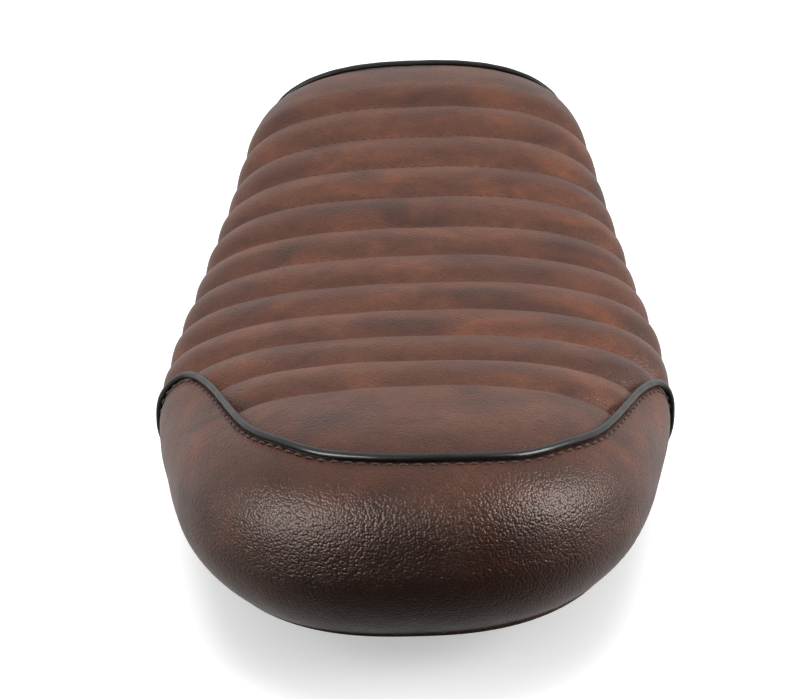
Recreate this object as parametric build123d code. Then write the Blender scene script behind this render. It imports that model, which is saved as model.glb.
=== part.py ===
from build123d import *
import math
import os

# Motorcycle seat, millimetres. +Y is the direction of travel, +X the right hand side, +Z up.
# The origin is on the ground plane of the stud tips, under the middle of the seat.

# ---- driving dimensions -------------------------------------------------------------------
HALF_LENGTH = 262.0
CROSS_POWER = 2.54        # roundness of the cross-section: 2 is an ellipse, more is squarer
REAR_POWER = 7.0          # roundness of the tail seen from above
FRONT_POWER = 10.0        # roundness of the nose seen from above
BELT_HEIGHT = 58.0        # height of the widest line at mid length, above the stud tips
PAN_BOTTOM = 24.0         # underside of the pan, which stands this far above the stud tips

# (distance along the seat, value) at the stations that fix each long curve
HALF_WIDTH = ((-262, 99), (-210, 109.5), (-157, 116.7), (-105, 125.2), (-52, 126),
              (26, 118.3), (105, 110.5), (183, 104.5), (262, 100.5))
BELT_RISE = ((-262, 13.8), (-183, 3.2), (-105, -1.2), (-26, 1.2), (52, 2.5),
             (131, 4.6), (196, 12), (262, 15.8))
CROWN_DEPTH = ((-262, 64.5), (-131, 51.5), (0, 39.7), (131, 47.3), (262, 53.7))
# lower sides tuck in by TUCK_IN at TUCK_DEPTH below the widest line, as a parabola
TUCK_IN = 27.0
TUCK_DEPTH = 46.8

COVER_THICKNESS = 1.4
QUILT_THICKNESS = 7.0
QUILT_BOTTOM = 32.0
PAN_THICKNESS = 3.5

# the two piped seams, seen from above: (distance from the seam's middle, distance along)
REAR_SEAM = ((-40, -232), (0, -237.5), (40, -232), (62, -216), (80, -191), (103, -128),
             (118, -102), (150, -94))
REAR_SEAM_OFFSET = 6.5
FRONT_SEAM = ((-60, 231), (0, 233), (60, 231), (110, 228), (150, 227))
CUT_HALF_WIDTH = 140      # reach of the blocks that cut the covers, past the seat's sides
CUT_HEIGHT = 200.0
END_REACH = 320.0
PIPING_DIAMETER = 3.6
PIPING_LIFT = 1.5         # from the surface out to the middle of the piping

RIB_SEAMS = 11
LAST_RIB_SEAM = -161.5
RIB_PITCH = 33.8
THREAD_DIAMETER = 1.0
TOPSTITCH_GAP = 3.0       # from the middle of the piping to its row of stitches

HEM_WIDTH = 18.0
STAPLE_COUNT = 44
STAPLE_WIDTH = 10.0
STAPLE_WIRE = 0.7
STAPLE_BITE = 3.0         # how far the legs reach into the pan

STUD_RADIUS = 4.0
STUD_CHAMFER = 0.8
STUD_HALF_SPACING = 45.0
FRONT_STUD_Y = 150.0
REAR_STUD_Y = -150.0
WASHER_THICKNESS = 1.6
NUT_FLATS = 13.0
NUT_HEIGHT = 6.5
NUT_FLANGE = 1.5
NUT_FLANGE_RADIUS = 8.6
INSERT_RADIUS = 6.0
INSERT_FLANGE = 1.2
INSERT_FLANGE_RADIUS = 9.0
BOSS_RADIUS = 11.0
BOSS_TOP = 38.0

BUSH_RADIUS = 6.0
BUSH_COLLAR_RADIUS = 9.0
BUSH_COLLAR = 3.8
BUSH_SLEEVE = 4.2
BRACKET_THICKNESS = 4.0
BRACKET_WIDTH = 26.0
BRACKET_CLEARANCE = 0.06
SLOT_CENTRE = 36.0        # from the stud to the middle of the slot
SLOT_LENGTH = 30.0
SLOT_WIDTH = 8.6
BRACKET_LENGTH = 71.0     # from end to end
BRACKET_CORNER = 12.0

BUFFER_PLACES = ((60, 78), (66, -66))
BUFFER_RADIUS = 11.0
BUFFER_TIP_RADIUS = 9.0
BUFFER_BOTTOM = 12.0
BUFFER_RECESS = 5.0
SCREW_RADIUS = 1.9
SCREW_HEAD_RADIUS = 4.0
SCREW_HEAD_HEIGHT = 2.5
SCREW_HEAD_ROUNDING = 1.2
SCREW_SLOT = (5.0, 0.9, 2.0)

PAN_RIB_DEPTH = 3.0
PAN_RIB_THICKNESS = 2.5
PAN_LONG_RIBS = (-32, 0, 32)
PAN_LONG_RIB_LENGTH = 370.0
PAN_CROSS_RIBS = (-175, -115, -25, 40, 115, 175)
PAN_CROSS_RIB_LENGTH = 104.0
VENT_RADIUS = 4.0
VENT_PLACES = ((17, 150), (17, 75), (17, 5), (17, -70), (17, -150))

# how finely the form is cut up: the outline's angles over the crown, its shares of the
# depth down the sides, and the loft's shares of half the length
CROWN_ANGLES = range(-90, 91, 10)
SIDE_SHARES = (0, 0.3, 0.6, 0.85, 1)
LOFT_SHARES = (0.998, 0.985, 0.96, 0.92, 0.86, 0.78, 0.68, 0.56, 0.42, 0.28, 0.14)
LEAST_END = 0.96          # share of the depth that is kept where the tail and nose close up


# ---- the outer form -----------------------------------------------------------------------
def along(stations, y):
    """Value of a long curve at y: a smooth curve through its stations."""
    last = len(stations) - 1
    i = 0
    while i < last - 1 and y > stations[i + 1][0]:
        i += 1

    def slope(k):
        a, b = stations[max(k - 1, 0)], stations[min(k + 1, last)]
        return (b[1] - a[1]) / (b[0] - a[0])

    (y0, v0), (y1, v1) = stations[i], stations[i + 1]
    span = y1 - y0
    t = min(max((y - y0) / span, 0.0), 1.0)
    return ((2 * t**3 - 3 * t**2 + 1) * v0 + (t**3 - 2 * t**2 + t) * span * slope(i)
            + (3 * t**2 - 2 * t**3) * v1 + (t**3 - t**2) * span * slope(i + 1))


def end_factor(y, half_length):
    """How much of the full width is left at y, near the rounded ends."""
    power = REAR_POWER if y < 0 else FRONT_POWER
    left = 1 - min(abs(y) / half_length, 1.0) ** power
    return left ** (1 / CROSS_POWER)


def belt_z(y):
    return BELT_HEIGHT + along(BELT_RISE, y)


def half_width_at(y, z, inset):
    """Half width of the seat at height z, with its surface moved in by inset."""
    depth = belt_z(y) - z
    if depth >= 0:
        tuck = inset + TUCK_IN * (depth / TUCK_DEPTH) ** 2
        return (along(HALF_WIDTH, y) - tuck) * end_factor(y, HALF_LENGTH - tuck)
    shrink = end_factor(y, HALF_LENGTH - inset)
    crown = (along(CROWN_DEPTH, y) - inset) * shrink
    ratio = min(-depth / max(crown, 1e-6), 1.0)
    full = (along(HALF_WIDTH, y) - inset) * shrink
    return full * (1 - ratio**CROSS_POWER) ** (1 / CROSS_POWER)


def top_z(x, y, inset=0.0):
    """Height of the top surface above the point x, y."""
    shrink = end_factor(y, HALF_LENGTH - inset)
    full = (along(HALF_WIDTH, y) - inset) * shrink
    ratio = min(abs(x) / full, 1.0)
    crown = (along(CROWN_DEPTH, y) - inset) * shrink
    return belt_z(y) + crown * (1 - ratio**CROSS_POWER) ** (1 / CROSS_POWER)


def crown_reach(angle):
    """Share of the half width that the crown's outline reaches at an angle from upright."""
    return math.copysign(abs(math.sin(angle)) ** (2 / CROSS_POWER), angle)


def section(y, inset, bottom):
    """Closed outline across the seat at y."""
    shrink = end_factor(y, HALF_LENGTH - inset)
    width = (along(HALF_WIDTH, y) - inset) * shrink
    height = (along(CROWN_DEPTH, y) - inset) * shrink
    belt = belt_z(y)
    room = max(HALF_LENGTH - inset - abs(y), 0.0)
    pinch = TUCK_DEPTH * math.sqrt(room / TUCK_IN)
    depth = min(belt - bottom, LEAST_END * pinch)
    crown = []
    for degrees in CROWN_ANGLES:
        angle = math.radians(degrees)
        reach = crown_reach(angle)
        crown.append(Vector(width * reach, y, belt + height * abs(math.cos(angle)) ** (2 / CROSS_POWER)))
    side = [Vector(half_width_at(y, belt - depth * f, inset), y, belt - depth * f)
            for f in SIDE_SHARES]
    other = [Vector(-p.X, p.Y, p.Z) for p in side]
    outline = crown + side[1:] + list(reversed(other[1:]))
    return Wire(Polyline(*outline, close=True).edges())


def body(inset, bottom):
    """The seat's whole form as one solid, its surface moved in by inset."""
    places = [-f for f in LOFT_SHARES] + [0] + [f for f in reversed(LOFT_SHARES)]
    length = HALF_LENGTH - inset
    return Solid.make_loft([section(length * f, inset, bottom) for f in places], ruled=True)


def main_piece(shape):
    """The largest solid of a cut, without the crumbs that a cut can leave."""
    return max(shape.solids(), key=lambda solid: solid.volume)


def slab(low, high):
    return Pos(0, 0, (low + high) / 2) * Box(3 * CUT_HALF_WIDTH, 2 * END_REACH, high - low)


# ---- seams --------------------------------------------------------------------------------
def rear_seam_y(x):
    return along(REAR_SEAM, abs(x - REAR_SEAM_OFFSET))


def front_seam_y(x):
    return along(FRONT_SEAM, abs(x))


def seam_edge(seam_y):
    return Spline([(x, seam_y(x)) for x in range(-CUT_HALF_WIDTH, CUT_HALF_WIDTH + 1, 20)])


def beyond(seam_y, end_y):
    """A tall block of everything between a seam and the end of the seat at end_y."""
    edge = seam_edge(seam_y)
    rest = Polyline(edge @ 1, (CUT_HALF_WIDTH, end_y), (-CUT_HALF_WIDTH, end_y), edge @ 0)
    return extrude(make_face([edge, rest]), CUT_HEIGHT)


def between_seams():
    """A tall block of everything between the two piped seams."""
    tail, nose = seam_edge(rear_seam_y), seam_edge(front_seam_y)
    sides = [Line(tail @ 0, nose @ 0), Line(tail @ 1, nose @ 1)]
    return extrude(make_face([tail, nose] + sides), CUT_HEIGHT)


def seam_route(seam_y, outward):
    """Points along a piped seam, up one side, over the top and down the other side."""
    over = []
    for degrees in CROWN_ANGLES:
        reach = crown_reach(math.radians(degrees))
        y = seam_y(0)
        for repeat in range(12):
            x = reach * half_width_at(y, belt_z(y), -outward)
            y = seam_y(x)
        over.append((x, y, top_z(x, y, -outward)))
    ends = []
    for x, y, belt in (over[0], over[-1]):
        low = PAN_BOTTOM + 2
        heights = (low, low + (belt - low) / 3, low + (belt - low) * 2 / 3)
        side = math.copysign(1, x)
        ends.append([(side * half_width_at(y, z, -outward), y, z) for z in heights])
    return ends[0] + over + list(reversed(ends[1]))


def bent_path(points):
    """Straight runs through the points with the largest tangent arcs that fit."""
    pts = [Vector(*p) for p in points]
    radii = []
    for before, here, after in zip(pts, pts[1:], pts[2:]):
        first, second = here - before, after - here
        turn = math.radians(first.get_angle(second))
        shorter = min(first.length, second.length)
        radii.append(0.45 * shorter / math.tan(turn / 2))
    return FilletPolyline(*pts, radius=radii)


def tube(points, diameter):
    path = bent_path(points)
    start = Plane(origin=path @ 0, z_dir=path % 0)
    return sweep(start * Circle(diameter / 2), path=path)


def topstitch(seam_y, toward_end):
    """One row of thread beside the piping, on the end panel's side."""
    def beside(x):
        slope = (seam_y(x + 1) - seam_y(x - 1)) / 2
        return seam_y(x) + toward_end * TOPSTITCH_GAP * math.hypot(1, slope)
    return tube(seam_route(beside, THREAD_DIAMETER / 2), THREAD_DIAMETER)


def rib_thread(y, limits):
    """Thread of one rib seam over the top and down both sides, as far as the piped seams."""
    lift = THREAD_DIAMETER / 2
    widest = half_width_at(y, belt_z(y), -lift)
    side = [(half_width_at(y, z, -lift), y, z) for z in (PAN_BOTTOM + 6, PAN_BOTTOM + 20)]
    over = []
    for degrees in CROWN_ANGLES:
        x = widest * crown_reach(math.radians(degrees))
        over.append((x, y, top_z(x, y, -lift)))
    other = [(-x, y, z) for x, y, z in side]
    thread = tube(other + over + list(reversed(side)), THREAD_DIAMETER)
    return main_piece(thread & limits)


# ---- pan, hem and fixings -----------------------------------------------------------------
def four_ways(places):
    return [(sign * x, y) for x, y in places for sign in (-1, 1)]


FRONT_STUDS = four_ways(((STUD_HALF_SPACING, FRONT_STUD_Y),))
REAR_STUDS = four_ways(((STUD_HALF_SPACING, REAR_STUD_Y),))
BUFFERS = four_ways(BUFFER_PLACES)


def cylinder(x, y, low, high, radius):
    return Pos(x, y, (low + high) / 2) * Cylinder(radius, high - low)


def ring(x, y, low, high, radius, bore):
    return cylinder(x, y, low, high, radius) - cylinder(x, y, low - 1, high + 1, bore)


def group(solids):
    return Compound(children=[s.solid() if hasattr(s, "solid") else s for s in solids])


def seat_pan(inner):
    pan = inner & slab(PAN_BOTTOM, PAN_BOTTOM + PAN_THICKNESS)
    rib_z = PAN_BOTTOM - PAN_RIB_DEPTH / 2
    for x in PAN_LONG_RIBS:
        pan += Pos(x, 0, rib_z) * Box(PAN_RIB_THICKNESS, PAN_LONG_RIB_LENGTH, PAN_RIB_DEPTH)
    for y in PAN_CROSS_RIBS:
        pan += Pos(0, y, rib_z) * Box(PAN_CROSS_RIB_LENGTH, PAN_RIB_THICKNESS, PAN_RIB_DEPTH)
    for x, y in FRONT_STUDS + REAR_STUDS:
        pan += cylinder(x, y, PAN_BOTTOM, BOSS_TOP, BOSS_RADIUS)
        pan -= cylinder(x, y, PAN_BOTTOM - 1, BOSS_TOP + 1, INSERT_RADIUS)
    for x, y in four_ways(VENT_PLACES):
        pan -= cylinder(x, y, PAN_BOTTOM - 1, PAN_BOTTOM + PAN_THICKNESS + 1, VENT_RADIUS)
    for x, y in BUFFERS:
        pan -= cylinder(x, y, PAN_BOTTOM - 1, PAN_BOTTOM + PAN_THICKNESS + 1, SCREW_RADIUS)
    return pan


def hem_route():
    """Fine points round the middle of the hem, seen from above."""
    inset = COVER_THICKNESS + HEM_WIDTH / 2
    right = []
    for y in range(int(-HALF_LENGTH), int(HALF_LENGTH) + 1):
        x = half_width_at(y, PAN_BOTTOM, inset)
        if x > 0:
            right.append((x, y))
    return right + [(-x, y) for x, y in reversed(right)]


def evenly(points, count):
    """Count places spaced evenly round a closed route, each with its direction in degrees."""
    ends = list(zip(points, points[1:] + points[:1]))
    lengths = [math.dist(a, b) for a, b in ends]
    pitch = sum(lengths) / count
    places = []
    walked, due = 0.0, pitch / 2
    for (a, b), length in zip(ends, lengths):
        while length > 0 and due <= walked + length:
            f = (due - walked) / length
            heading = math.degrees(math.atan2(b[1] - a[1], b[0] - a[0]))
            places.append((a[0] + (b[0] - a[0]) * f, a[1] + (b[1] - a[1]) * f, heading))
            due += pitch
        walked += length
    return places


def staple(x, y, heading):
    top = PAN_BOTTOM - COVER_THICKNESS
    wire = STAPLE_WIRE
    leg = COVER_THICKNESS + STAPLE_BITE
    shape = Pos(0, 0, top - wire / 2) * Box(STAPLE_WIDTH, wire, wire)
    for side in (-1, 1):
        place = Pos(side * (STAPLE_WIDTH - wire) / 2, 0, top - wire + (leg + wire) / 2)
        shape += place * Box(wire, wire, leg + wire)
    return Pos(x, y, 0) * Rot(0, 0, heading) * shape


def threaded_insert(x, y):
    sleeve = ring(x, y, PAN_BOTTOM, BOSS_TOP, INSERT_RADIUS, STUD_RADIUS)
    return sleeve + ring(x, y, BOSS_TOP, INSERT_TOP, INSERT_FLANGE_RADIUS, STUD_RADIUS)


def stud(x, y):
    rod = cylinder(x, y, 0, BOSS_TOP, STUD_RADIUS)
    return chamfer(rod.edges().sort_by(Axis.Z)[0], STUD_CHAMFER)


def washer(x, y, top):
    return ring(x, y, top - WASHER_THICKNESS, top, 2 * STUD_RADIUS, STUD_RADIUS)


def nut(x, y, top):
    """Flanged hexagon nut with its flange up, against the washer."""
    hexagon = RegularPolygon(NUT_FLATS / 2, 6, major_radius=False)
    block = Pos(x, y, top - NUT_HEIGHT) * extrude(hexagon, NUT_HEIGHT - NUT_FLANGE)
    block += cylinder(x, y, top - NUT_FLANGE, top, NUT_FLANGE_RADIUS)
    return block - cylinder(x, y, top - NUT_HEIGHT - 1, top + 1, STUD_RADIUS)


def pivot_bush(x, y):
    collar = ring(x, y, PAN_BOTTOM - BUSH_COLLAR, PAN_BOTTOM, BUSH_COLLAR_RADIUS, STUD_RADIUS)
    return collar + ring(x, y, BUSH_END, PAN_BOTTOM - BUSH_COLLAR, BUSH_RADIUS, STUD_RADIUS)


def bracket(side):
    """Slotted strap that swivels on a rear stud's bush; side is -1 for left and 1 for right."""
    strap = Box(BRACKET_LENGTH, BRACKET_WIDTH, BRACKET_THICKNESS)
    strap = fillet(strap.edges().filter_by(Axis.Z), BRACKET_CORNER)
    strap = Pos((BRACKET_LENGTH - BRACKET_WIDTH) / 2, 0, 0) * strap
    bore = Cylinder(BUSH_RADIUS + BRACKET_CLEARANCE, 2 * BRACKET_THICKNESS)
    slot = extrude(SlotOverall(SLOT_LENGTH, SLOT_WIDTH), BRACKET_THICKNESS, both=True)
    strap = strap - bore - Pos(SLOT_CENTRE, 0, 0) * slot
    turn = Rot(0, 0, 0 if side > 0 else 180)
    height = BUSH_END + BUSH_SLEEVE / 2
    return Pos(side * STUD_HALF_SPACING, REAR_STUD_Y, height) * turn * strap


def buffer_foot(x, y):
    length = PAN_BOTTOM - BUFFER_BOTTOM
    foot = Pos(x, y, BUFFER_BOTTOM + length / 2) * Cone(BUFFER_TIP_RADIUS, BUFFER_RADIUS, length)
    foot -= cylinder(x, y, BUFFER_BOTTOM - 1, BUFFER_BOTTOM + BUFFER_RECESS, SCREW_HEAD_RADIUS + 0.5)
    return foot - cylinder(x, y, BUFFER_BOTTOM, PAN_BOTTOM + 1, SCREW_RADIUS)


def buffer_screw(x, y):
    seat = BUFFER_BOTTOM + BUFFER_RECESS
    head = cylinder(x, y, seat - SCREW_HEAD_HEIGHT, seat, SCREW_HEAD_RADIUS)
    head = fillet(head.edges().sort_by(Axis.Z)[0], SCREW_HEAD_ROUNDING)
    slot = Box(*SCREW_SLOT)
    head -= Pos(x, y, seat - SCREW_HEAD_HEIGHT) * (slot + Rot(0, 0, 90) * slot)
    return head + cylinder(x, y, seat, PAN_BOTTOM + PAN_THICKNESS, SCREW_RADIUS)


# ---- the assembly -------------------------------------------------------------------------
BUSH_END = PAN_BOTTOM - BUSH_COLLAR - BUSH_SLEEVE
HEM_BOTTOM = PAN_BOTTOM - COVER_THICKNESS
BELOW_PAN = PAN_BOTTOM - 9
INSERT_TOP = BOSS_TOP + INSERT_FLANGE

outer = body(0, HEM_BOTTOM)
inner = body(COVER_THICKNESS, BELOW_PAN)
under_quilt = body(COVER_THICKNESS + QUILT_THICKNESS, BELOW_PAN)
inside_hem = body(COVER_THICKNESS + HEM_WIDTH, BELOW_PAN)
middle = between_seams()

cover = outer - inner
quilt = main_piece((inner - under_quilt) & slab(QUILT_BOTTOM, CUT_HEIGHT) & middle)
quilt_room = (outer - under_quilt) & slab(QUILT_BOTTOM, CUT_HEIGHT) & middle
foam = (inner & slab(PAN_BOTTOM + PAN_THICKNESS, CUT_HEIGHT)) - quilt_room
for x, y in FRONT_STUDS + REAR_STUDS:
    foam -= cylinder(x, y, PAN_BOTTOM, INSERT_TOP, BOSS_RADIUS)

rib_rows = [LAST_RIB_SEAM + RIB_PITCH * k for k in range(RIB_SEAMS)]

parts = {
    "seat_pan": seat_pan(inner),
    "foam_core": main_piece(foam),
    "quilting_foam": quilt,
    "top_cover": main_piece(cover & middle),
    "rear_cover": main_piece(cover & beyond(rear_seam_y, -END_REACH)),
    "front_cover": main_piece(cover & beyond(front_seam_y, END_REACH)),
    "rear_piping": tube(seam_route(rear_seam_y, PIPING_LIFT), PIPING_DIAMETER),
    "front_piping": tube(seam_route(front_seam_y, PIPING_LIFT), PIPING_DIAMETER),
    "rib_stitching": group([rib_thread(y, middle) for y in rib_rows]),
    "rear_topstitch": topstitch(rear_seam_y, -1),
    "front_topstitch": topstitch(front_seam_y, 1),
    "cover_hem": (inner - inside_hem) & slab(HEM_BOTTOM, PAN_BOTTOM),
    "hem_staples": group([staple(*place) for place in evenly(hem_route(), STAPLE_COUNT)]),
    "threaded_inserts": group([threaded_insert(x, y) for x, y in FRONT_STUDS + REAR_STUDS]),
    "mounting_studs": group([stud(x, y) for x, y in FRONT_STUDS + REAR_STUDS]),
    "front_washers": group([washer(x, y, PAN_BOTTOM) for x, y in FRONT_STUDS]),
    "front_nuts": group([nut(x, y, PAN_BOTTOM - WASHER_THICKNESS) for x, y in FRONT_STUDS]),
    "pivot_bushes": group([pivot_bush(x, y) for x, y in REAR_STUDS]),
    "left_bracket": bracket(-1),
    "right_bracket": bracket(1),
    "bracket_washers": group([washer(x, y, BUSH_END) for x, y in REAR_STUDS]),
    "bracket_nuts": group([nut(x, y, BUSH_END - WASHER_THICKNESS) for x, y in REAR_STUDS]),
    "rubber_buffers": group([buffer_foot(x, y) for x, y in BUFFERS]),
    "buffer_screws": group([buffer_screw(x, y) for x, y in BUFFERS]),
}

os.makedirs("parts", exist_ok=True)
for name, shape in parts.items():
    export_step(shape, f"parts/{name}.step")
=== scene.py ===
import math
import bpy
import numpy as np
from mathutils import Matrix, Vector


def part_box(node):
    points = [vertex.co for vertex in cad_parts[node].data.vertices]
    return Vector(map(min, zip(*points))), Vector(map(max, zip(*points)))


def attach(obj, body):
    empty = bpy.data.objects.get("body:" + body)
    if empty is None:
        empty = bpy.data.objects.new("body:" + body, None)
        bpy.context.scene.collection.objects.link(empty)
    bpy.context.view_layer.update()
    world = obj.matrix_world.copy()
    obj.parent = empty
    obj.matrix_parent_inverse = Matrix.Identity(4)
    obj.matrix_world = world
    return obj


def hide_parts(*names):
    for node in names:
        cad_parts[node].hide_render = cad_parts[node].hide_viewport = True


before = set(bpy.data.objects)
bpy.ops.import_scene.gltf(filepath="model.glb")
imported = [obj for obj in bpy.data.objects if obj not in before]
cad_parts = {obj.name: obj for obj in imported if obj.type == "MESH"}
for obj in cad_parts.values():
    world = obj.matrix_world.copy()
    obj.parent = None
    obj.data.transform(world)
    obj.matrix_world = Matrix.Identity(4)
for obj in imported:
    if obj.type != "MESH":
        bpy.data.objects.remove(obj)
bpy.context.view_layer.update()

# ---- the seat's outer form, in metres: the same form as the CAD covers ----------------------
HALF_LENGTH = 0.262
CROSS_POWER = 2.54
REAR_POWER = 7.0
FRONT_POWER = 10.0
BELT_HEIGHT = 0.058
PAN_BOTTOM = 0.024
HALF_WIDTH = ((-0.262, 0.099), (-0.210, 0.1095), (-0.157, 0.1167), (-0.105, 0.1252),
              (-0.052, 0.126), (0.026, 0.1183), (0.105, 0.1105), (0.183, 0.1045), (0.262, 0.1005))
BELT_RISE = ((-0.262, 0.0138), (-0.183, 0.0032), (-0.105, -0.0012), (-0.026, 0.0012),
             (0.052, 0.0025), (0.131, 0.0046), (0.196, 0.012), (0.262, 0.0158))
CROWN_DEPTH = ((-0.262, 0.0645), (-0.131, 0.0515), (0, 0.0397), (0.131, 0.0473), (0.262, 0.0537))
TUCK_IN = 0.027
TUCK_DEPTH = 0.0468

REAR_SEAM = ((-0.040, -0.232), (0, -0.2375), (0.040, -0.232), (0.062, -0.216), (0.080, -0.191),
             (0.103, -0.128), (0.118, -0.102), (0.150, -0.094))
REAR_SEAM_OFFSET = 0.0065
FRONT_SEAM = ((-0.060, 0.2325), (0, 0.2345), (0.060, 0.2325), (0.110, 0.2275), (0.150, 0.2265))

# ---- upholstery ----------------------------------------------------------------------------
RIB_SEAMS = 11
LAST_RIB_SEAM = -0.1615
RIB_PITCH = 0.0338
RIB_DEPTH = 0.0058
RIB_ROUNDNESS = 2.2
PIPING_RADIUS = 0.00175
PIPING_LIFT = 0.0002
PIPING_STEP = 0.0022
PIPING_END_SHARE = 0.7
PINCH_DEPTH = 0.0021
PINCH_REACH = 0.006
COVER_THICKNESS = 0.0014
QUILT_THICKNESS = 0.007
HEM_WIDTH = 0.018
STITCH_RADIUS = 0.0004
STITCH_LENGTH = 0.0036
STITCH_SINK = 0.0008
TOPSTITCH_PITCH = 0.0060
TOPSTITCH_GAP = 0.0030
RIB_STITCH_RADIUS = 0.00032
RIB_STITCH_PITCH = 0.0055
SEAM_BLEND = 0.004
CREASE_ROUNDING = 0.05
HEM_STEPS = ((0.0, 0.0), (0.0006, 0.0007), (0.0018, 0.0012), (0.0035, 0.0014), (0.0070, 0.0014),
             (0.0110, 0.0014), (0.0150, 0.0014), (HEM_WIDTH, 0.0014))
HEM_PLEATS = 96
PLEAT_DEPTH = 0.0004
QUILT_INSET = 0.0022
QUILT_BOTTOM = 0.032
CORE_BOTTOM = 0.0275
QUILT_EDGE_GAP = 0.002
FOAM_CLEARANCE = 0.001

LIGHTEST_WAY = (0, 0.85, 0.52)
FLOOR_Z = -0.0004
FLOOR_HALF_SIZE = 6.0
COLUMNS = 221
ROWS_PER_RIB = 20
END_ROWS = 64
SIDE_ROWS = 26
PROBE_POINTS = 2001
PROBE_REACH = -0.2


def along(stations, y):
    """Smooth curve through its stations, for an array of distances along the seat."""
    at = np.array([s[0] for s in stations], float)
    value = np.array([s[1] for s in stations], float)
    low = np.maximum(np.arange(len(at)) - 1, 0)
    high = np.minimum(np.arange(len(at)) + 1, len(at) - 1)
    slope = (value[high] - value[low]) / (at[high] - at[low])
    y = np.asarray(y, float)
    i = np.clip(np.searchsorted(at, y) - 1, 0, len(at) - 2)
    span = at[i + 1] - at[i]
    t = np.clip((y - at[i]) / span, 0, 1)
    return ((2 * t**3 - 3 * t**2 + 1) * value[i] + (t**3 - 2 * t**2 + t) * span * slope[i]
            + (3 * t**2 - 2 * t**3) * value[i + 1] + (t**3 - t**2) * span * slope[i + 1])


def rear_seam_y(x):
    return along(REAR_SEAM, np.abs(x - REAR_SEAM_OFFSET))


def front_seam_y(x):
    return along(FRONT_SEAM, np.abs(x))


def belt_z(y):
    return BELT_HEIGHT + along(BELT_RISE, y)


def smoothstep(t):
    t = np.clip(t, 0, 1)
    return t * t * (3 - 2 * t)


def slope_of(seam_y, x):
    return (seam_y(x + 0.001) - seam_y(x - 0.001)) / 0.002


def walked_along(path):
    """Distance walked along a path, at each of its points."""
    step = np.linalg.norm(np.diff(path, axis=0), axis=1)
    return np.concatenate([[0], np.cumsum(step)])


def wrapped_quads(index):
    """Faces between rings of points that close round on themselves, one ring per row of index."""
    return np.stack([index[:-1], np.roll(index[:-1], -1, 1), np.roll(index[1:], -1, 1), index[1:]], -1)


def closed_tube_faces(index):
    """Faces of a tube with closed ends, from the numbers of its rings of points."""
    faces = [tuple(quad) for quad in wrapped_quads(index).reshape(-1, 4)]
    return faces + [tuple(index[0][::-1]), tuple(index[-1])]


def rib_row(k):
    """Distance along the seat of rib seam k, counted forwards from the last one."""
    return LAST_RIB_SEAM + RIB_PITCH * k


# ---- the padded form as a grid over the top and rings down the sides ------------------------
def dome(turn, reach, inset=0.0):
    """Upper form. turn runs -90..90 degrees across the seat, reach -1..1 along it."""
    power = np.where(reach < 0, REAR_POWER, FRONT_POWER)
    across = np.sin(turn) ** 2
    ends = np.abs(reach) ** power
    wide = np.sign(turn) * (across * (1 - ends + ends**2 / 2)) ** (1 / CROSS_POWER)
    far = reach * (1 - across * ends / 2) ** (1 / power)
    rise = np.clip((1 - across) * (1 - ends), 0, None) ** (1 / CROSS_POWER)
    y = (HALF_LENGTH - inset) * far
    x = (along(HALF_WIDTH, y) - inset) * wide
    z = belt_z(y) + (along(CROWN_DEPTH, y) - inset) * rise
    return np.stack([x, y, z], -1), wide, far


def lower(wide, far, z, inset=0.0):
    """Lower form, from the widest line down to the pan, at height z."""
    y = (HALF_LENGTH - inset) * far
    for repeat in range(6):
        tuck = inset + TUCK_IN * ((belt_z(y) - z) / TUCK_DEPTH) ** 2
        y = (HALF_LENGTH - tuck) * far
    x = (along(HALF_WIDTH, y) - tuck) * wide
    return np.stack([x, y, z + 0 * x], -1)


def row_stations():
    """Stations along the seat: one on each rib seam, closer together near the seams."""
    t = np.linspace(0, 1, ROWS_PER_RIB + 1)[:-1]
    t = 0.6 * t + 0.4 * (0.5 - 0.5 * np.cos(np.pi * t))
    ribs = np.concatenate([rib_row(k) + RIB_PITCH * t for k in range(RIB_SEAMS - 1)])
    last, first = rib_row(0) / HALF_LENGTH, rib_row(RIB_SEAMS - 1) / HALF_LENGTH
    u = np.linspace(0, 1, END_ROWS + 1)
    ease = 1 - (1 - u) ** 1.35
    tail = last + (-1 - last) * ease[:0:-1]
    nose = first + (1 - first) * ease
    return np.concatenate([tail, ribs / HALF_LENGTH, nose])


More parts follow.
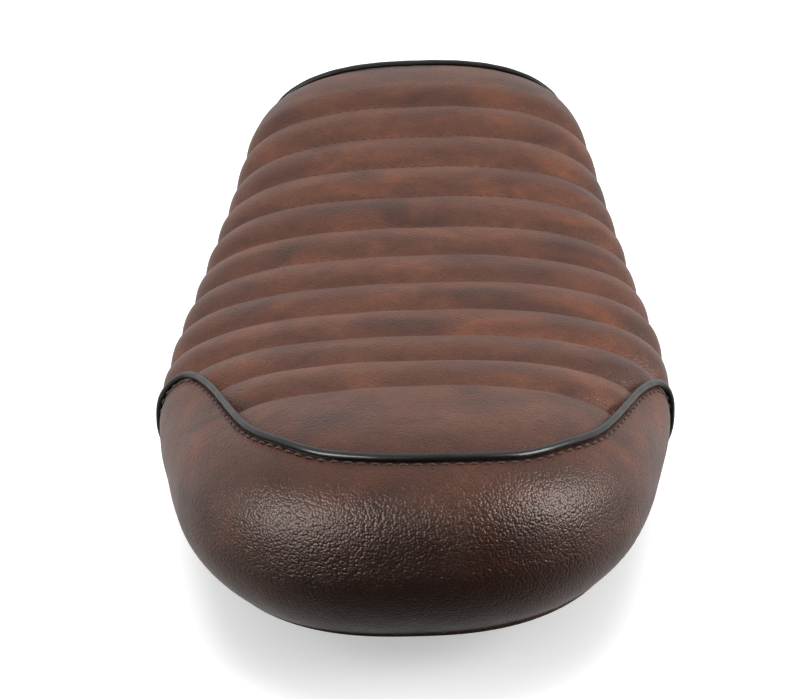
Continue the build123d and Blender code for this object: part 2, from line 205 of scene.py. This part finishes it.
class Form:
    """Points and faces of the padded form at an inset from the outside."""

    def __init__(self, columns, stations, side_rows, inset=0.0, bottom=PAN_BOTTOM):
        # columns evenly spaced over one cross-section, measured on a fine copy of it
        fine = np.radians(np.linspace(-90, 90, PROBE_POINTS))
        probe = dome(fine, np.full_like(fine, PROBE_REACH), inset)[0]
        walked = walked_along(probe)
        turn = np.interp(np.linspace(0, walked[-1], columns), walked, fine)
        rows = len(stations)
        grid, wide, far = dome(*np.meshgrid(turn, stations, indexing="ij"), inset)
        index = np.arange(columns * rows).reshape(columns, rows)
        corners = [index[:-1, :-1], index[1:, :-1], index[1:, 1:], index[:-1, 1:]]
        faces = [np.stack(corners, -1).reshape(-1, 4)]
        border = np.concatenate([index[0, :-1], index[:-1, -1], index[-1, :0:-1], index[:0:-1, 0]])
        points = [grid.reshape(-1, 3)]
        wide, far = wide.ravel()[border], far.ravel()[border]
        belt = belt_z((HALF_LENGTH - inset) * far)
        rings = [border]
        count = columns * rows
        for k in range(1, side_rows + 1):
            points.append(lower(wide, far, belt + (bottom - belt) * k / side_rows, inset))
            here = np.arange(len(border)) + count
            count += len(border)
            faces.append(np.stack([rings[-1], np.roll(rings[-1], -1), np.roll(here, -1), here], -1))
            rings.append(here)
        self.points = np.concatenate(points)
        self.faces = np.concatenate(faces)
        self.index, self.rings, self.wide, self.far = index, rings, wide, far
        self.fallen = np.zeros(count)
        for k, ring in enumerate(rings):
            self.fallen[ring] = k / side_rows

    def across_row(self, j):
        """Vertex numbers along row j: up the left side, over the top, down the right side."""
        columns, rows = self.index.shape
        left = j
        right = (rows - 1) + (columns - 1) + (rows - 1 - j)
        up = [ring[left] for ring in self.rings[:0:-1]]
        down = [ring[right] for ring in self.rings[1:]]
        return np.array(up + list(self.index[:, j]) + down)


def normals_of(points, faces):
    a, b, c, d = (points[faces[:, k]] for k in range(4))
    flat = np.cross(c - a, d - b)
    total = np.zeros_like(points)
    for k in range(4):
        np.add.at(total, faces[:, k], flat)
    return total / np.maximum(np.linalg.norm(total, axis=1, keepdims=True), 1e-12)


def seam_distance(points, seam_y):
    """Distance from a piped seam, positive towards the nose."""
    x, y = points[:, 0], points[:, 1]
    return (y - seam_y(x)) / np.hypot(1, slope_of(seam_y, x))


def wander(points, size, seed):
    """Smooth repeatable unevenness between -1 and 1, with bumps of about the given size."""
    rng = np.random.default_rng(seed)
    total = np.zeros(len(points))
    for k in range(7):
        direction = rng.normal(size=3)
        direction /= np.linalg.norm(direction)
        phase = rng.uniform(0, 2 * math.pi)
        total += np.sin(points @ direction * (2 * math.pi / size) * rng.uniform(0.7, 1.4) + phase)
    return total / 4


def relief(points, normals, fallen):
    """How far the upholstery stands in from the plain form: ribs, pinched seams and softness."""
    # 0 in a rib seam, 1 on a rib's crest; the crease has a small radius
    seams_on = (points[:, 1] - LAST_RIB_SEAM) / RIB_PITCH
    off = 2 * np.abs(seams_on - np.clip(np.round(seams_on), 0, RIB_SEAMS - 1))
    off = np.clip(np.sqrt(off**2 + CREASE_ROUNDING**2), 0, 1)
    # shallower ribs down the sides
    fade = (0.36 + 0.64 * smoothstep(normals[:, 2] * 1.35)) * (1 - 0.75 * fallen)
    uneven = 1 + 0.10 * wander(points, 0.09, 3)
    rib = RIB_DEPTH * uneven * fade * (1 - off) ** RIB_ROUNDNESS
    rear = seam_distance(points, rear_seam_y)
    front = seam_distance(points, front_seam_y)
    in_top = smoothstep(rear / SEAM_BLEND + 0.5) * smoothstep(0.5 - front / SEAM_BLEND)
    pinch = np.exp(-np.abs(rear) / PINCH_REACH) + np.exp(-np.abs(front) / PINCH_REACH)
    soft = 0.0005 * wander(points, 0.16, 11) + 0.00022 * wander(points, 0.035, 5)
    return rib * in_top + PINCH_DEPTH * pinch * (1 - 0.5 * fallen) + soft * (1 - fallen)


# ---- small helpers for objects -------------------------------------------------------------
def mesh_object(name, points, faces, material, smooth=True):
    mesh = bpy.data.meshes.new(name)
    mesh.from_pydata([tuple(p) for p in points], [], [tuple(int(i) for i in f) for f in faces])
    mesh.validate()
    mesh.polygons.foreach_set("use_smooth", [smooth] * len(mesh.polygons))
    mesh.update()
    obj = bpy.data.objects.new(name, mesh)
    bpy.context.scene.collection.objects.link(obj)
    obj.data.materials.append(material)
    return obj


def part_of(points, faces, chosen):
    """Only the chosen faces, with the points that they use."""
    faces = faces[chosen]
    used, flat = np.unique(faces, return_inverse=True)
    return points[used], flat.reshape(faces.shape)


def place(obj, slot, *nodes, body="seat"):
    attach(obj, body)
    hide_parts(*nodes)
    return obj


def resample(path, spacing):
    """Points evenly spaced along a path."""
    walked = walked_along(path)
    count = max(int(round(walked[-1] / spacing)), 2)
    at = np.linspace(0, walked[-1], count + 1)
    return np.stack([np.interp(at, walked, path[:, k]) for k in range(3)], -1)


def resample_like(path, values, fine):
    """Values along a path, read again at the path's evenly spaced points."""
    walked = walked_along(path)
    at = np.linspace(0, walked[-1], len(fine))
    return np.stack([np.interp(at, walked, values[:, k]) for k in range(3)], -1)


def directions(path):
    step = np.gradient(path, axis=0)
    return step / np.linalg.norm(step, axis=1, keepdims=True)


def tube_mesh(path, ups, radii, sides=14):
    """Round tube along a path, with closed ends."""
    ahead = directions(path)
    side = np.cross(ahead, ups)
    side /= np.linalg.norm(side, axis=1, keepdims=True)
    up = np.cross(side, ahead)
    angle = np.linspace(0, 2 * np.pi, sides, endpoint=False)
    ring = side[:, None] * np.cos(angle)[None, :, None] + up[:, None] * np.sin(angle)[None, :, None]
    points = path[:, None] + ring * np.asarray(radii)[:, None, None]
    index = np.arange(len(path) * sides).reshape(len(path), sides)
    return points.reshape(-1, 3), closed_tube_faces(index)


def join(pieces):
    points, faces, start = [], [], 0
    for more_points, more_faces in pieces:
        points.append(more_points)
        faces += [tuple(i + start for i in f) for f in more_faces]
        start += len(more_points)
    return np.concatenate(points), faces


# ---- materials -----------------------------------------------------------------------------
class Nodes:
    """A short way to write a node material."""

    def __init__(self, name):
        self.material = bpy.data.materials.new(name)
        self.material.use_nodes = True
        self.tree = self.material.node_tree
        self.shader = self.tree.nodes["Principled BSDF"]
        self.place = self.add("ShaderNodeTexCoord").outputs["Object"]

    def add(self, kind, **settings):
        node = self.tree.nodes.new(kind)
        for key, value in settings.items():
            if key in node.inputs:
                self.put(node.inputs[key], value)
            else:
                setattr(node, key, value)
        return node

    def put(self, socket, value):
        if isinstance(value, bpy.types.NodeSocket):
            self.tree.links.new(value, socket)
        else:
            socket.default_value = value

    def set(self, **values):
        for key, value in values.items():
            self.put(self.shader.inputs[key.replace("_", " ")], value)

    def stretched(self, x, y, z):
        node = self.add("ShaderNodeMapping", Vector=self.place)
        node.inputs["Scale"].default_value = (x, y, z)
        return node.outputs["Vector"]

    def noise(self, scale, detail=2.0, roughness=0.5, distortion=0.0, vector=None):
        node = self.add("ShaderNodeTexNoise", Vector=vector or self.place, Scale=scale,
                        Detail=detail, Roughness=roughness, Distortion=distortion)
        return node.outputs["Fac"]

    def cells(self, scale, feature="F1", vector=None):
        node = self.add("ShaderNodeTexVoronoi", feature=feature, Scale=scale,
                        Vector=vector or self.place)
        return node.outputs["Distance"]

    def ramp(self, value, *stops):
        node = self.add("ShaderNodeValToRGB", Fac=value)
        ramp = node.color_ramp
        for position, color in stops[2:]:
            ramp.elements.new(position)
        for element, (position, color) in zip(ramp.elements, sorted(stops)):
            element.position = position
            element.color = (*color, 1)
        return node.outputs["Color"]

    def span(self, value, low, high, to_low, to_high):
        node = self.add("ShaderNodeMapRange", Value=value)
        ends = {"From Min": low, "From Max": high, "To Min": to_low, "To Max": to_high}
        for key, number in ends.items():
            node.inputs[key].default_value = number
        return node.outputs["Result"]

    def math(self, operation, a, b=0.0):
        node = self.add("ShaderNodeMath", operation=operation)
        self.put(node.inputs[0], a)
        self.put(node.inputs[1], b)
        return node.outputs[0]

    def mix(self, factor, a, b):
        node = self.add("ShaderNodeMix", data_type="RGBA")
        for key, value in ((0, factor), (6, a), (7, b)):
            if isinstance(value, tuple):
                value = (*value, 1)
            self.put(node.inputs[key], value)
        return node.outputs[2]

    def bump(self, height, distance, strength=1.0):
        node = self.add("ShaderNodeBump", Height=height, Distance=distance, Strength=strength)
        return node.outputs["Normal"]


def leatherette():
    n = Nodes("brown_leatherette")
    # antique colouring: soft clouds, stretched across the seat
    clouds = n.noise(46, 3.0, 0.55, 0.5, n.stretched(0.5, 1.0, 1.0))
    color = n.ramp(clouds, (0.30, (0.048, 0.017, 0.011)), (0.46, (0.086, 0.028, 0.0155)),
                   (0.57, (0.112, 0.036, 0.018)), (0.72, (0.165, 0.050, 0.021)))
    fine = n.noise(170, 4.0, 0.6)
    color = n.mix(n.span(fine, 0.35, 0.7, 0.0, 0.35), color, (0.040, 0.015, 0.010))
    # painted shade: darker towards the tail and the nose
    lengthways = n.add("ShaderNodeSeparateXYZ", Vector=n.place).outputs["Y"]
    painted_end_shade = n.span(n.math("ABSOLUTE", lengthways), 0.165, 0.245, 0.0, 0.45)
    color = n.mix(painted_end_shade, color, (0.030, 0.010, 0.006))
    # pebble grain: irregular domed cells, with painted shade darkening the valleys between them
    bent = n.add("ShaderNodeTexNoise", Vector=n.place, Scale=420.0, Detail=2.0)
    shifted = n.add("ShaderNodeMixRGB", blend_type="ADD", Fac=0.0010)
    n.put(shifted.inputs[1], n.place)
    n.put(shifted.inputs[2], bent.outputs["Color"])
    edge = n.cells(820, "DISTANCE_TO_EDGE", shifted.outputs[0])
    middle = n.cells(820, "F1", shifted.outputs[0])
    # painted shade: darker colour near the cell edges, in the grain's valleys
    color = n.mix(n.span(edge, 0.0, 0.14, 0.55, 0.0), color, (0.018, 0.007, 0.005))
    valley = n.math("MULTIPLY", middle, n.math("MULTIPLY", middle, 2.2))
    height = n.math("SUBTRACT", n.math("MULTIPLY", n.noise(240, 2.0), 0.7), valley)
    normal = n.bump(height, 0.00014, 1.0)
    rough = n.span(n.noise(60, 3.0), 0.3, 0.7, 0.35, 0.43)
    n.set(Base_Color=color, Roughness=rough, Normal=normal, Specular_IOR_Level=0.5,
          Specular_Tint=(1.0, 0.90, 0.84, 1),
          Sheen_Weight=0.05, Sheen_Roughness=0.45, Sheen_Tint=(0.95, 0.72, 0.62, 1))
    return n.material


def piping_vinyl():
    n = Nodes("black_piping")
    grain = n.noise(900, 2.0)
    wear = n.span(n.noise(70, 3.0), 0.35, 0.65, 0.0, 1.0)
    color = n.mix(wear, (0.006, 0.006, 0.0065), (0.012, 0.0115, 0.012))
    n.set(Base_Color=color, Roughness=n.span(grain, 0.2, 0.8, 0.26, 0.36), Specular_IOR_Level=0.55,
          Normal=n.bump(grain, 0.00006, 0.4), Coat_Weight=0.1, Coat_Roughness=0.2)
    return n.material


def thread():
    n = Nodes("brown_thread")
    twist = n.noise(2600, 2.0)
    color = n.mix(twist, (0.014, 0.007, 0.005), (0.042, 0.020, 0.014))
    n.set(Base_Color=color, Roughness=0.7, Normal=n.bump(twist, 0.00015, 0.8), Sheen_Weight=0.3)
    return n.material


def foam(name, color):
    n = Nodes(name)
    pores = n.cells(900)
    tint = n.mix(n.span(n.noise(30, 3.0), 0.3, 0.7, 0, 1), color, tuple(c * 0.82 for c in color))
    # painted shade: darker colour in the pores
    tint = n.mix(n.span(pores, 0.0, 0.5, 0.35, 0.0), tint, tuple(c * 0.4 for c in color))
    n.set(Base_Color=tint, Roughness=0.95, Normal=n.bump(pores, 0.0004, 0.6))
    return n.material


def moulded_plastic():
    n = Nodes("pan_plastic")
    grain = n.noise(1400, 3.0, 0.6)
    scuff = n.span(n.noise(35, 5.0, 0.65), 0.45, 0.7, 0.0, 1.0)
    color = n.mix(scuff, (0.018, 0.018, 0.019), (0.034, 0.033, 0.032))
    rough = n.span(scuff, 0, 1, 0.45, 0.62)
    n.set(Base_Color=color, Roughness=rough, Normal=n.bump(grain, 0.00012, 0.5))
    return n.material


def rubber():
    n = Nodes("black_rubber")
    grain = n.noise(700, 3.0)
    color = n.mix(n.noise(60, 3.0), (0.014, 0.014, 0.014), (0.032, 0.031, 0.030))
    n.set(Base_Color=color, Roughness=0.72, Normal=n.bump(grain, 0.0001, 0.5))
    return n.material


def zinc_plate():
    n = Nodes("zinc_steel")
    cloud = n.noise(180, 4.0, 0.6)
    color = n.ramp(cloud, (0.3, (0.46, 0.46, 0.47)), (0.7, (0.66, 0.66, 0.64)))
    rough = n.span(n.noise(420, 3.0), 0.3, 0.7, 0.24, 0.42)
    n.set(Base_Color=color, Metallic=1.0, Roughness=rough,
          Normal=n.bump(n.noise(2200, 2.0), 0.00003, 0.5))
    return n.material


def brass():
    n = Nodes("brass")
    color = n.mix(n.noise(150, 4.0), (0.60, 0.42, 0.16), (0.44, 0.29, 0.12))
    n.set(Base_Color=color, Metallic=1.0, Roughness=n.span(n.noise(300, 3.0), 0.3, 0.7, 0.28, 0.45))
    return n.material


def powder_coat():
    n = Nodes("black_steel")
    peel = n.noise(900, 2.0)
    wear = n.span(n.noise(55, 5.0, 0.7), 0.62, 0.72, 0.0, 1.0)
    color = n.mix(wear, (0.016, 0.016, 0.017), (0.040, 0.039, 0.038))
    n.set(Base_Color=color, Roughness=n.span(wear, 0, 1, 0.36, 0.5), Normal=n.bump(peel, 0.00008, 0.6))
    return n.material


LEATHER = leatherette()
VINYL = piping_vinyl()
THREAD = thread()
ZINC = zinc_plate()
CORE_FOAM = foam("moulded_foam", (0.62, 0.52, 0.30))
QUILT_FOAM = foam("quilting_foam", (0.66, 0.66, 0.62))


# ---- covers --------------------------------------------------------------------------------
stations = row_stations()
shape = Form(COLUMNS, stations, SIDE_ROWS)
plain_normals = normals_of(shape.points, shape.faces)
skin = shape.points - plain_normals * relief(shape.points, plain_normals, shape.fallen)[:, None]
centres = shape.points[shape.faces].mean(1)
behind_rear_seam = seam_distance(centres, rear_seam_y) < 0
before_front_seam = seam_distance(centres, front_seam_y) > 0


def cover(name, chosen):
    """One panel of the cover, thickened inwards."""
    obj = mesh_object(name, *part_of(skin, shape.faces, chosen), LEATHER)
    thick = obj.modifiers.new("thickness", "SOLIDIFY")
    thick.thickness = COVER_THICKNESS
    thick.offset = -1
    place(obj, "brown_leatherette", name)
    return obj


cover("top_cover", ~behind_rear_seam & ~before_front_seam)
cover("rear_cover", behind_rear_seam)
cover("front_cover", before_front_seam)


def hem():
    """The covers' margin, turned under the pan's edge and gathered round the ends."""
    rings = []
    around = np.linspace(0, 1, len(shape.far), endpoint=False)
    pleat = np.sin(around * 2 * np.pi * HEM_PLEATS) * smoothstep((np.abs(shape.far) - 0.72) / 0.2)
    for inward, drop in HEM_STEPS:
        ring = lower(shape.wide, shape.far, PAN_BOTTOM, inward)
        share = smoothstep(inward / 0.006)
        ring[:, 2] -= drop + PLEAT_DEPTH * share * (0.5 + 0.5 * pleat)
        rings.append(ring)
    rings[0] = skin[shape.rings[-1]]
    inner = rings[-1].copy()
    inner[:, 2] = PAN_BOTTOM + 0.0001
    rings.append(inner)
    count = len(shape.far)
    index = np.arange(len(rings) * count).reshape(len(rings), count)
    obj = mesh_object("cover_hem", np.concatenate(rings), wrapped_quads(index).reshape(-1, 4), LEATHER)
    return place(obj, "brown_leatherette", "cover_hem")


hem()


# ---- piped seams ---------------------------------------------------------------------------
def on_skin(turn, reach, lift):
    """Points standing lift outside the plain upper form, with the outward directions."""
    here = dome(turn, reach)[0]
    small = 1e-4
    right = dome(np.clip(turn + small, -np.pi / 2, np.pi / 2), reach)[0]
    right -= dome(np.clip(turn - small, -np.pi / 2, np.pi / 2), reach)[0]
    forward = dome(turn, reach + small)[0] - dome(turn, reach - small)[0]
    out = np.cross(right, forward)
    out /= np.linalg.norm(out, axis=1, keepdims=True)
    return here + out * lift, out


def seam_path(seam_y, lift):
    """A piped seam from one lower edge over the top to the other, and its outward directions."""
    turn = np.radians(np.linspace(-89.5, 89.5, 359))
    reach = seam_y(np.zeros_like(turn)) / HALF_LENGTH
    for repeat in range(30):
        x, y = dome(turn, reach)[0][:, :2].T
        reach = reach + (seam_y(x) - y) / HALF_LENGTH
    top, out = on_skin(turn, reach, lift)
    sides = []
    for end in (0, -1):
        far = top[end, 1] / HALF_LENGTH
        power = REAR_POWER if far < 0 else FRONT_POWER
        side = math.copysign(1, top[end, 0])
        fall = float(belt_z(top[end, 1])) - PAN_BOTTOM
        depth = np.linspace(0, fall, 30)[1:]
        tuck = TUCK_IN * (depth / TUCK_DEPTH) ** 2
        far = top[end, 1] / (HALF_LENGTH - tuck)
        wide = side * (1 - np.minimum(np.abs(far), 0.999) ** power) ** (1 / CROSS_POWER)
        path = lower(wide, far, belt_z(top[end, 1]) - depth, -lift)
        outward = np.zeros_like(path)
        outward[:, 0] = side
        outward[:, 2] = -2 * TUCK_IN * depth / TUCK_DEPTH**2
        outward /= np.linalg.norm(outward, axis=1, keepdims=True)
        sides.append((path, outward))
    path = np.concatenate([sides[0][0][::-1], top, sides[1][0]])
    out = np.concatenate([sides[0][1][::-1], out, sides[1][1]])
    return path, out


def piping(name, seam_y):
    """Vinyl piping standing on the covers along a seam."""
    path, out = seam_path(seam_y, PIPING_LIFT)
    fine = resample(path, PIPING_STEP)
    ups = resample_like(path, out, fine)
    # a slight unevenness along the cord, and narrower closed ends
    radii = PIPING_RADIUS * (1 + 0.03 * np.sin(np.arange(len(fine)) * 0.9))
    radii[0] *= PIPING_END_SHARE
    radii[-1] *= PIPING_END_SHARE
    obj = mesh_object(name, *tube_mesh(fine, ups, radii), VINYL)
    return place(obj, "black_piping", name)


piping("rear_piping", rear_seam_y)
piping("front_piping", front_seam_y)


# ---- stitching -----------------------------------------------------------------------------
def one_stitch(start, finish, out, radius):
    """A short round thread that dips into the cover at both ends."""
    t = np.linspace(0, 1, 7)
    path = start + (finish - start) * t[:, None]
    path = path + out * (np.sin(np.pi * t)[:, None] * 1.5 - 0.7) * radius
    return tube_mesh(path, np.tile(out, (7, 1)), radius * np.array([0.6, 0.9, 1, 1, 1, 0.9, 0.6]), 7)


def stitch_row(path, out, pitch, length, radius):
    """A row of separate stitches along a path, read at eight points per pitch."""
    fine = resample(path, pitch / 8)
    ups = resample_like(path, out, fine)
    gap = int(round(8 * length / pitch))
    stitches = []
    for k in range(0, len(fine) - gap, 8):
        middle = ups[k + gap // 2]
        stitches.append(one_stitch(fine[k], fine[k + gap], middle / np.linalg.norm(middle), radius))
    return stitches


def rib_stitching():
    """A row of thread in every rib seam, on the top panel only."""
    stitches = []
    for k in range(RIB_SEAMS):
        j = END_ROWS + ROWS_PER_RIB * k
        line = shape.across_row(j)
        inside = seam_distance(shape.points[line], rear_seam_y) > 0.003
        line = line[inside]
        path = skin[line] - plain_normals[line] * 0.0001
        stitches += stitch_row(path, plain_normals[line], RIB_STITCH_PITCH, STITCH_LENGTH,
                               RIB_STITCH_RADIUS)
    obj = mesh_object("rib_stitching", *join(stitches), THREAD)
    return place(obj, "brown_thread", "rib_stitching")


def topstitch(name, seam_y, toward_end):
    """The row of thread beside a piped seam, on the side towards the seat's end."""

    def beside(x):
        return seam_y(x) + toward_end * TOPSTITCH_GAP * np.hypot(1, slope_of(seam_y, x))

    path, out = seam_path(beside, -STITCH_SINK)
    stitches = stitch_row(path, out, TOPSTITCH_PITCH, STITCH_LENGTH, STITCH_RADIUS)
    obj = mesh_object(name, *join(stitches), THREAD)
    return place(obj, "brown_thread", name)


rib_stitching()
topstitch("rear_topstitch", rear_seam_y, -1)
topstitch("front_topstitch", front_seam_y, 1)


# ---- foams under the covers -----------------------------------------------------------------
def foam_piece(name, inset, bottom, material, slot, chosen=None):
    inner = Form(81, stations[::4], 10, inset, bottom)
    out = normals_of(inner.points, inner.faces)
    sunk = relief(inner.points, out, inner.fallen)
    points = inner.points - out * sunk[:, None]
    faces = inner.faces
    if chosen is not None:
        middles = inner.points[faces].mean(1)
        points, faces = part_of(points, faces, chosen(middles))
    obj = mesh_object(name, points, faces, material)
    place(obj, slot, name)
    return obj


def under_top(middles):
    """Between the two piped seams, and a little away from both."""
    rear = seam_distance(middles, rear_seam_y)
    front = seam_distance(middles, front_seam_y)
    return (rear > QUILT_EDGE_GAP) & (front < -QUILT_EDGE_GAP)


quilt = foam_piece("quilting_foam", QUILT_INSET, QUILT_BOTTOM, QUILT_FOAM, "quilting_foam", under_top)
thick = quilt.modifiers.new("thickness", "SOLIDIFY")
thick.thickness = QUILT_THICKNESS - FOAM_CLEARANCE
thick.offset = -1
foam_piece("foam_core", COVER_THICKNESS + QUILT_THICKNESS + FOAM_CLEARANCE, CORE_BOTTOM, CORE_FOAM,
           "moulded_foam")


# ---- fixings -------------------------------------------------------------------------------
STUD_RADIUS = 0.004
STUD_PITCH = 0.00125
STUD_LENGTH = 0.038
THREAD_DEPTH = 0.00055
STUD_TIP_RADIUS = 0.0031


def threaded_stud(x, y):
    """A stud with a helical thread and a bevelled tip, standing at x, y."""
    sides, per_turn = 24, 6
    count = int(STUD_LENGTH / STUD_PITCH * per_turn)
    z = np.linspace(0, STUD_LENGTH, count + 1)
    angle = np.linspace(0, 2 * np.pi, sides, endpoint=False)
    zz, aa = np.meshgrid(z, angle, indexing="ij")
    phase = (zz / STUD_PITCH - aa / (2 * np.pi)) % 1
    radius = STUD_RADIUS - THREAD_DEPTH * (1 - np.abs(2 * phase - 1))
    radius = np.minimum(radius, STUD_TIP_RADIUS + zz)
    points = np.stack([x + radius * np.cos(aa), y + radius * np.sin(aa), zz], -1).reshape(-1, 3)
    return points, closed_tube_faces(np.arange(len(points)).reshape(len(z), sides))


def studs():
    low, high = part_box("mounting_studs")
    xs = (low.x + STUD_RADIUS, high.x - STUD_RADIUS)
    ys = (low.y + STUD_RADIUS, high.y - STUD_RADIUS)
    obj = mesh_object("mounting_studs", *join([threaded_stud(x, y) for x in xs for y in ys]), ZINC)
    return place(obj, "zinc_steel", "mounting_studs")


studs()

# the CAD pieces that show as they are, with their finishes
COATED = powder_coat()
CAD_FINISHES = {
    "seat_pan": moulded_plastic(), "hem_staples": ZINC, "threaded_inserts": brass(),
    "front_washers": ZINC, "front_nuts": ZINC, "pivot_bushes": ZINC,
    "left_bracket": COATED, "right_bracket": COATED, "bracket_washers": ZINC,
    "bracket_nuts": ZINC, "rubber_buffers": rubber(), "buffer_screws": ZINC,
}
for node, material in CAD_FINISHES.items():
    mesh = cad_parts[node].data
    mesh.materials.clear()
    mesh.materials.append(material)


# ---- floor, light and camera ---------------------------------------------------------------
def studio():
    """White floor, and soft surroundings that are lightest overhead and ahead of the seat."""
    scene = bpy.context.scene
    scene.view_settings.view_transform = "Standard"
    world = bpy.data.worlds.new("studio")
    scene.world = world
    world.use_nodes = True
    tree = world.node_tree
    toward = tree.nodes.new("ShaderNodeVectorMath")
    toward.operation = "DOT_PRODUCT"
    toward.inputs[1].default_value = LIGHTEST_WAY
    level = tree.nodes.new("ShaderNodeMapRange")
    level.interpolation_type = "SMOOTHSTEP"
    ends = {"From Min": -0.85, "From Max": 0.55, "To Min": 0.03, "To Max": 0.74}
    for key, number in ends.items():
        level.inputs[key].default_value = number
    tree.links.new(tree.nodes.new("ShaderNodeTexCoord").outputs["Generated"], toward.inputs[0])
    tree.links.new(toward.outputs["Value"], level.inputs["Value"])
    background = tree.nodes["Background"]
    background.inputs["Color"].default_value = (1, 1, 1, 1)
    tree.links.new(level.outputs["Result"], background.inputs["Strength"])
    n = Nodes("floor")
    n.set(Base_Color=n.mix(n.noise(3, 2.0), (0.90, 0.90, 0.90), (0.92, 0.92, 0.92)), Roughness=0.9,
          Emission_Color=(1, 1, 1, 1), Emission_Strength=0.35)
    corners = [(x * FLOOR_HALF_SIZE, y * FLOOR_HALF_SIZE, FLOOR_Z)
               for x, y in ((-1, -1), (1, -1), (1, 1), (-1, 1))]
    floor = mesh_object("floor", corners, [(0, 1, 2, 3)], n.material, False)
    floor.visible_glossy = False
    floor.visible_diffuse = False


def softbox(name, place_at, aim, width, height, watts):
    light = bpy.data.lights.new(name, "AREA")
    light.shape = "RECTANGLE"
    light.size, light.size_y, light.energy = width, height, watts
    obj = bpy.data.objects.new(name, light)
    bpy.context.scene.collection.objects.link(obj)
    obj.location = place_at
    toward = Vector(aim) - Vector(place_at)
    obj.rotation_euler = toward.to_track_quat("-Z", "Y").to_euler()
    obj.visible_camera = False
    return obj


def camera():
    """Behind and above the tail, turned a little to the right and rolled a little."""
    distance = 1.2
    elevation = math.radians(27.0)
    azimuth = math.radians(1.33)
    roll = math.radians(-2.2)
    back = Vector((math.sin(azimuth) * math.cos(elevation), -math.cos(azimuth) * math.cos(elevation),
                   math.sin(elevation)))
    right = (-back).cross(Vector((0, 0, 1))).normalized()
    up = right.cross(-back)
    side = right * math.cos(roll) + up * math.sin(roll)
    upward = -right * math.sin(roll) + up * math.cos(roll)
    data = bpy.data.cameras.new("camera")
    data.sensor_width = 36
    data.lens = 102.7248
    obj = bpy.data.objects.new("camera", data)
    bpy.context.scene.collection.objects.link(obj)
    eye = back * distance + Vector((0, 0, BELT_HEIGHT))
    # the seat stands a little to one side of the view's middle and a little above it
    target = Vector((0, 0, BELT_HEIGHT)) - side * 0.0102 - upward * 0.0133
    look = (eye - target).normalized()
    side = (side - look * side.dot(look)).normalized()
    upward = look.cross(side)
    turn = Matrix((side, upward, look)).transposed().to_4x4()
    obj.matrix_world = Matrix.Translation(eye) @ turn
    bpy.context.scene.camera = obj


studio()
for name, place_at, width, height, watts in (
        ("left_box", (-0.90, -1.10, 0.36), 1.10, 0.70, 24),
        ("right_box", (1.12, -0.68, 0.42), 0.85, 0.80, 21)):
    softbox(name, place_at, (0, -0.2, 0.06), width, height, watts).visible_diffuse = False
softbox("left_fill", (-1.3, -0.15, 0.45), (0, -0.1, 0.05), 0.8, 0.7, 8).visible_glossy = False
softbox("right_fill", (1.3, -0.25, 0.45), (0, -0.1, 0.05), 0.8, 0.7, 13).visible_glossy = False
softbox("top_box", (0, 0.05, 1.40), (0, 0, 0.08), 1.2, 0.8, 18).visible_glossy = False
camera()
